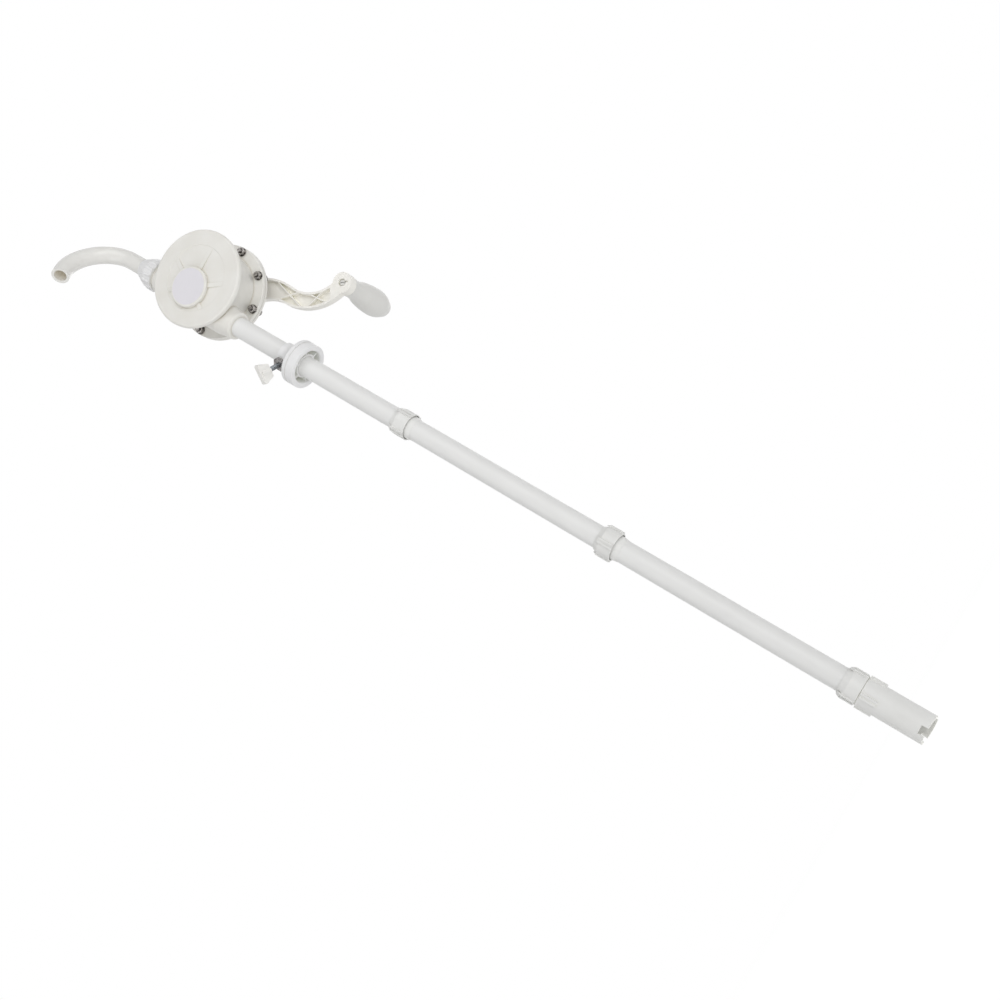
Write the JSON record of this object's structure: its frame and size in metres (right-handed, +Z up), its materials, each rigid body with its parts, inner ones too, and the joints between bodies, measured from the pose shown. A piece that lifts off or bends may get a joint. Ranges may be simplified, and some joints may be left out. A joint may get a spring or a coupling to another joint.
{
  "type": "rotary hand transfer pump",
  "caption": "Hand-cranked rotary vane pump for drums: round plastic head with a bent spout above, a jointed suction tube below and a clamping bung adapter on the tube.",
  "frame": {"origin": "on the suction tube's axis, where the bung adapter's plug begins", "axes": "+Z up along the suction tube, the round face looks to -Y, the crank is on +Y"},
  "size_m": [0.2065, 0.2654, 1.246],
  "materials": {
    "casing_plastic": "warm off-white moulded plastic",
    "tube_plastic": "neutral off-white extruded plastic",
    "adapter_plastic": "cool off-white moulded plastic",
    "crank_plastic": "warm cream moulded plastic",
    "grip_plastic": "smooth light grey plastic",
    "bearing_plastic": "natural bearing plastic",
    "label_film": "blank pale lilac-white film",
    "rotor_plastic": "grey filled plastic",
    "seal_rubber": "black rubber",
    "gasket_rubber": "dark sheet rubber",
    "bolt_steel": "bright stainless steel",
    "zinc_steel": "bright zinc plate",
    "nut_steel": "dark plated steel",
    "shaft_steel": "turned stainless steel"
  },
  "bodies": {
    "adapter": {"bung_adapter": "adapter_plastic", "clamp_nut": "nut_steel"},
    "clamp": {"clamp_screw": "zinc_steel", "clamp_knob": "adapter_plastic"},
    "pump": {"pump_casing": "casing_plastic", "label_disc": "label_film", "cover_gasket": "gasket_rubber", "rear_cover": "casing_plastic", "flange_bolts": "bolt_steel", "flange_nuts": "bolt_steel", "flange_washers": "bolt_steel", "shaft_bush_front": "bearing_plastic", "shaft_bush_rear": "bearing_plastic", "shaft_seal": "seal_rubber", "suction_tube_upper": "tube_plastic", "suction_tube_middle": "tube_plastic", "suction_tube_lower": "tube_plastic", "coupling_socket_upper": "tube_plastic", "coupling_socket_middle": "tube_plastic", "coupling_socket_lower": "tube_plastic", "coupling_collar_upper": "tube_plastic", "coupling_collar_middle": "tube_plastic", "foot_housing": "tube_plastic", "foot_strainer": "tube_plastic", "spout_seal": "seal_rubber"},
    "foot_valve": {"foot_valve_ball": "bearing_plastic"},
    "crank": {"rotor": "rotor_plastic", "drive_shaft": "shaft_steel", "vane_springs": "bolt_steel", "crank_arm": "crank_plastic", "crank_washer": "bolt_steel", "crank_screw": "bolt_steel"},
    "upper_vane": {"vane_upper": "bearing_plastic"},
    "lower_vane": {"vane_lower": "bearing_plastic"},
    "grip": {"crank_grip": "grip_plastic"},
    "spout": {"spout_pipe": "tube_plastic"},
    "nut": {"union_nut": "adapter_plastic"}
  },
  "joints": [
    {"name": "height_slide", "type": "slide", "parent": "adapter", "child": "pump", "axis": [0, 0, 1], "range_m": [-0.08, 0.145]},
    {"name": "clamp_screw_travel", "type": "slide", "parent": "adapter", "child": "clamp", "axis": [-0.6691, -0.7431, 0], "range_m": [0, 0.012]},
    {"name": "crank_turn", "type": "hinge", "parent": "pump", "child": "crank", "pos_m": [0.0143, 0.0619, 0.1896], "axis": [0, 1, 0], "continuous": true},
    {"name": "upper_vane_slide", "type": "slide", "parent": "crank", "child": "upper_vane", "axis": [0, 0, 1], "range_m": [0, 0.0115]},
    {"name": "lower_vane_slide", "type": "slide", "parent": "crank", "child": "lower_vane", "axis": [0, 0, -1], "range_m": [0, 0.0115]},
    {"name": "grip_spin", "type": "hinge", "parent": "crank", "child": "grip", "pos_m": [0.11829, 0.0619, 0.04662], "axis": [0, 1, 0], "continuous": true},
    {"name": "foot_valve_lift", "type": "slide", "parent": "pump", "child": "foot_valve", "axis": [0, 0, 1], "range_m": [0, 0.006]},
    {"name": "spout_swivel", "type": "hinge", "parent": "pump", "child": "spout", "pos_m": [0.0041, 0, 0.28], "axis": [0, 0, 1], "continuous": true},
    {"name": "union_nut_turn", "type": "hinge", "parent": "pump", "child": "nut", "pos_m": [0.0041, 0, 0.27], "axis": [0, 0, 1], "continuous": true}
  ]
}
